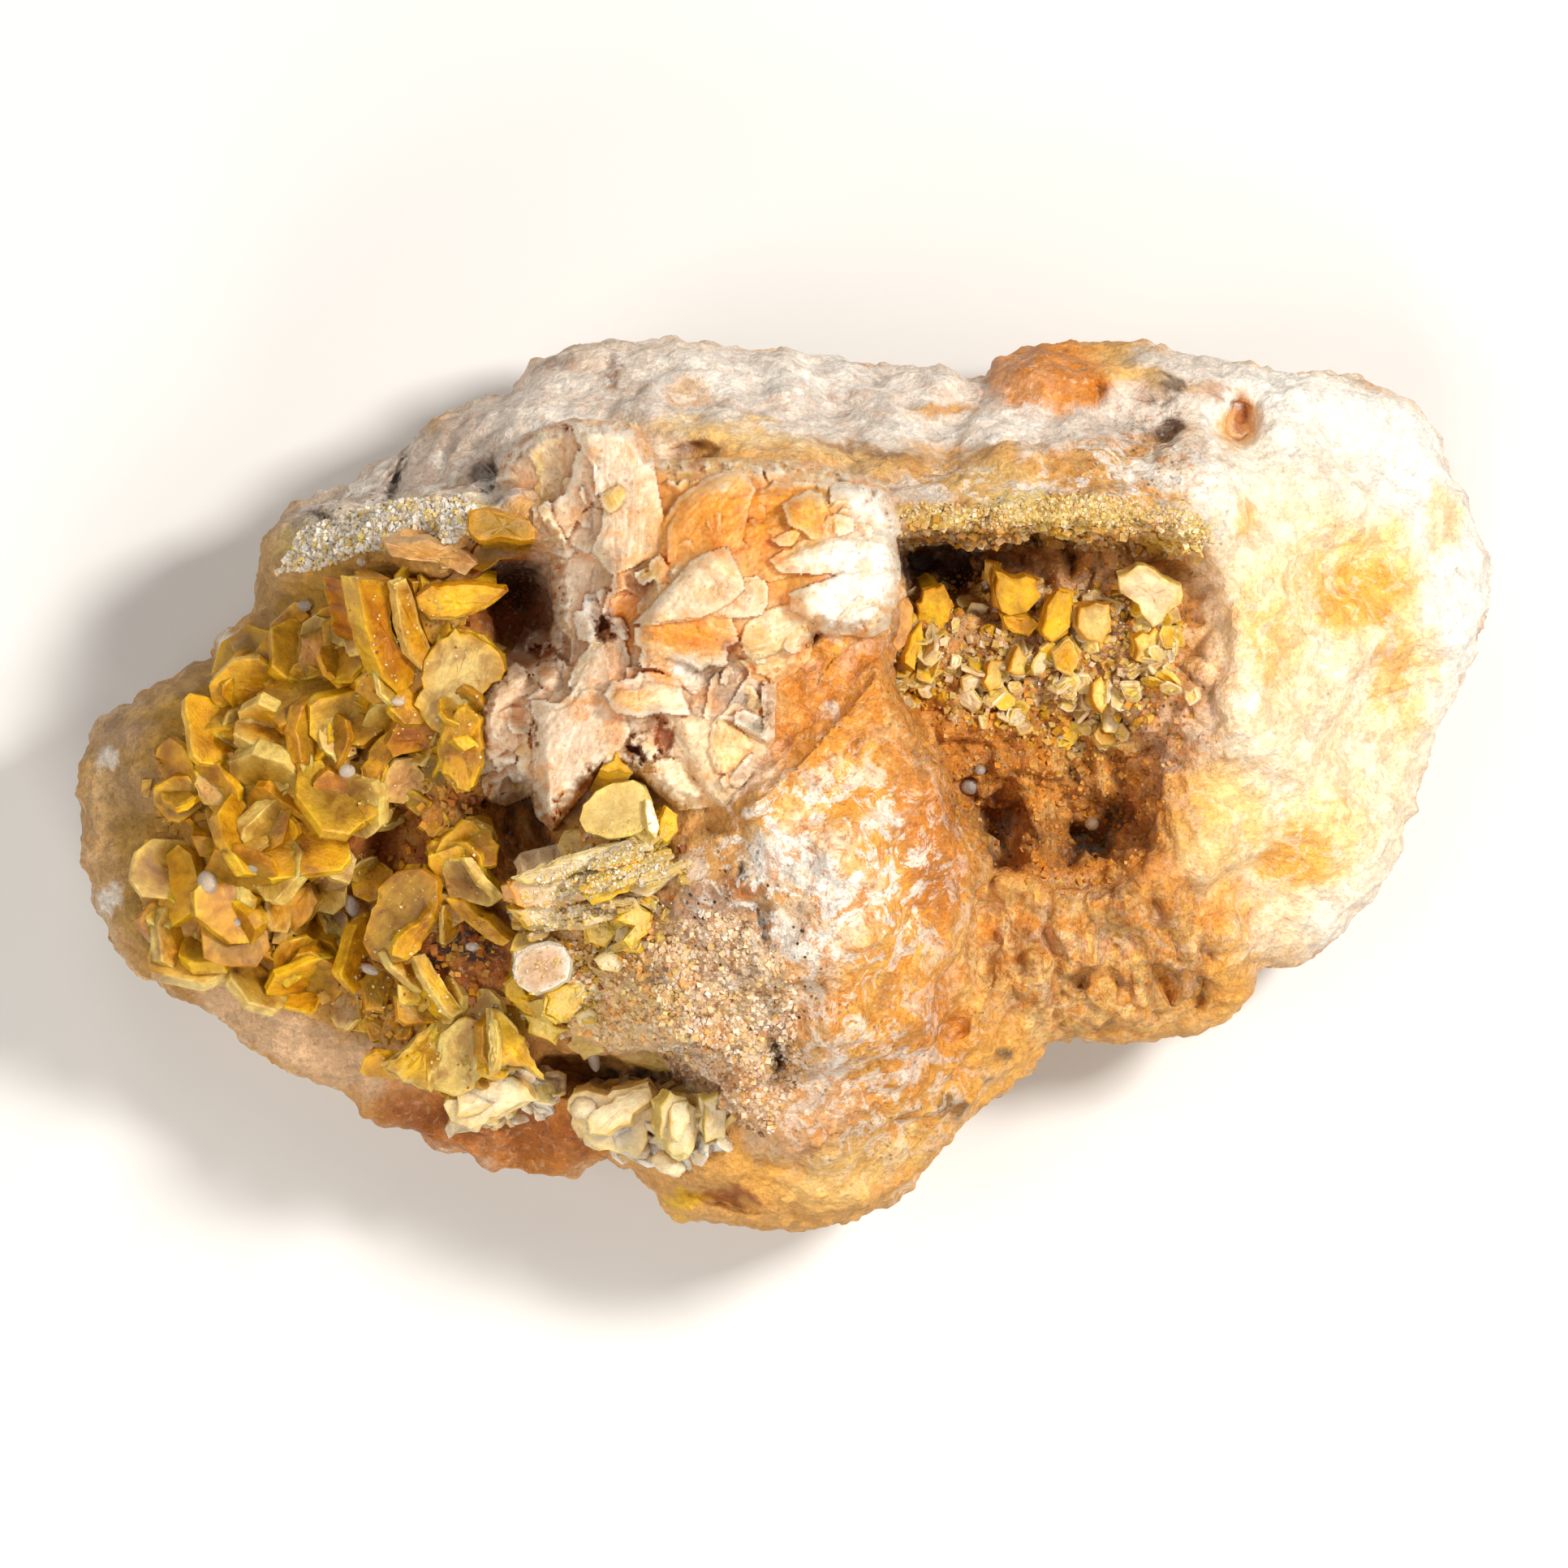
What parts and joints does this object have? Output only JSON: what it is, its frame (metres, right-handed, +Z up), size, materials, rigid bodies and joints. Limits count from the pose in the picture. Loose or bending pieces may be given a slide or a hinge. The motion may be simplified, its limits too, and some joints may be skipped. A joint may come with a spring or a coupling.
{
  "type": "wulfenite crystal specimen on matrix",
  "caption": "Lump of limonite and barite rock that lies on its flat back, with tabular wulfenite crystals, barite blades and a crystal-lined vug.",
  "frame": {"origin": "middle of the flat base that the stone lies on", "axes": "+X along the length, from the druse to the vug, +Y across the face, +Z up out of the crystal face"},
  "size_m": [0.0605, 0.0381, 0.0256],
  "materials": {
    "matrix": "rough, granular limonite and barite rock",
    "wulfenite_druse": "resinous, translucent olive-yellow crystal",
    "wulfenite_plates": "resinous, translucent yellow crystal",
    "barite_blades": "waxy, pinkish white crystal",
    "milky_crystals": "glassy, milky crystal",
    "vug_crystals": "resinous, yellow crystal crust"
  },
  "bodies": {
    "root": {"matrix": "matrix", "wulfenite_druse": "wulfenite_druse", "wulfenite_plates": "wulfenite_plates", "barite_blades": "barite_blades", "milky_crystals_left": "milky_crystals", "milky_crystals_right": "milky_crystals", "vug_crystals": "vug_crystals"}
  },
  "joints": []
}
